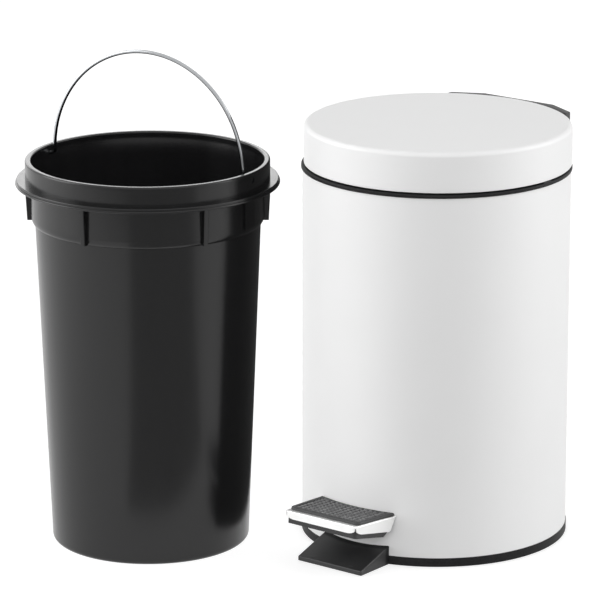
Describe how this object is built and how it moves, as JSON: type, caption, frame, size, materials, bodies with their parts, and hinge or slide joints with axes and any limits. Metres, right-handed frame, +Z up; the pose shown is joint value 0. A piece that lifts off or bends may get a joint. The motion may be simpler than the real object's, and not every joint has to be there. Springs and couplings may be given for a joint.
{
  "type": "pedal trash can",
  "caption": "Round pedal trash can in white coated steel with a hinged lid, foot pedal and lift-rod linkage, its black inner bucket with a wire bail standing beside it.",
  "frame": {"origin": "on the can's axis at floor level", "axes": "+Z up, the pedal faces -Y and the lid's hinge is at +Y"},
  "size_m": [0.2961, 0.2986, 0.3121],
  "materials": {
    "white_steel": "matt white powder coat",
    "black_plastic": "fine moulded grain",
    "bucket_plastic": "satin moulded",
    "bail_wire": "bright plated wire",
    "bright_steel": "satin rolled sheet, pressed",
    "zinc_steel": "zinc plated",
    "tread_rubber": "moulded studs in rows",
    "rubber": "matt"
  },
  "bodies": {
    "can": {"floor_ring": "rubber", "wedge_pads": "rubber", "base_ring": "black_plastic", "bottom_plate": "zinc_steel", "base_screws": "zinc_steel", "body_shell": "white_steel", "rim_ring": "black_plastic", "lid_bumpers": "rubber", "hinge_housing": "black_plastic", "hinge_screws": "zinc_steel", "hinge_pin": "zinc_steel", "lower_rod_guide": "black_plastic", "upper_rod_guide": "black_plastic", "guide_rivets": "zinc_steel", "left_pivot_bracket": "zinc_steel", "right_pivot_bracket": "zinc_steel", "bracket_rivets": "zinc_steel", "pivot_pins": "zinc_steel"},
    "pedal": {"pedal_lever": "zinc_steel", "pedal_carrier": "black_plastic", "pedal_screws": "zinc_steel", "pedal_tray": "bright_steel", "pedal_tread": "tread_rubber"},
    "rod": {"lift_rod": "zinc_steel", "rod_cap": "black_plastic"},
    "lid": {"lid_shell": "white_steel", "lid_bracket": "black_plastic", "lid_rivets": "zinc_steel", "lid_crank": "zinc_steel", "crank_rivet": "zinc_steel"},
    "bucket": {"bucket": "bucket_plastic"},
    "bail": {"bail": "bail_wire"}
  },
  "joints": [
    {"name": "lid_hinge", "type": "hinge", "parent": "can", "child": "lid", "pos_m": [0, 0.088, 0.226], "axis": [-1, 0, 0], "range_deg": [0, 76]},
    {"name": "pedal_pivot", "type": "hinge", "parent": "can", "child": "pedal", "pos_m": [0, -0.008, 0.022], "axis": [1, 0, 0], "range_deg": [0, 7.33]},
    {"name": "rod_slide", "type": "slide", "parent": "can", "child": "rod", "axis": [0, 0, 1], "range_m": [0, 0.01123]},
    {"name": "bucket_lift", "type": "slide", "parent": "can", "child": "bucket", "axis": [0, 0, 1], "range_m": [0, 0.3]},
    {"name": "bail_swing", "type": "hinge", "parent": "bucket", "child": "bail", "pos_m": [-0.13006, -0.12429, 0.2394], "axis": [0.9903, 0.1392, 0], "range_deg": [-84, 84]}
  ],
  "couplings": [
    {"joint": "pedal_pivot", "follows": "lid_hinge", "ratio": 0.096395},
    {"joint": "rod_slide", "follows": "lid_hinge", "m_per_rad": 0.0084625}
  ]
}
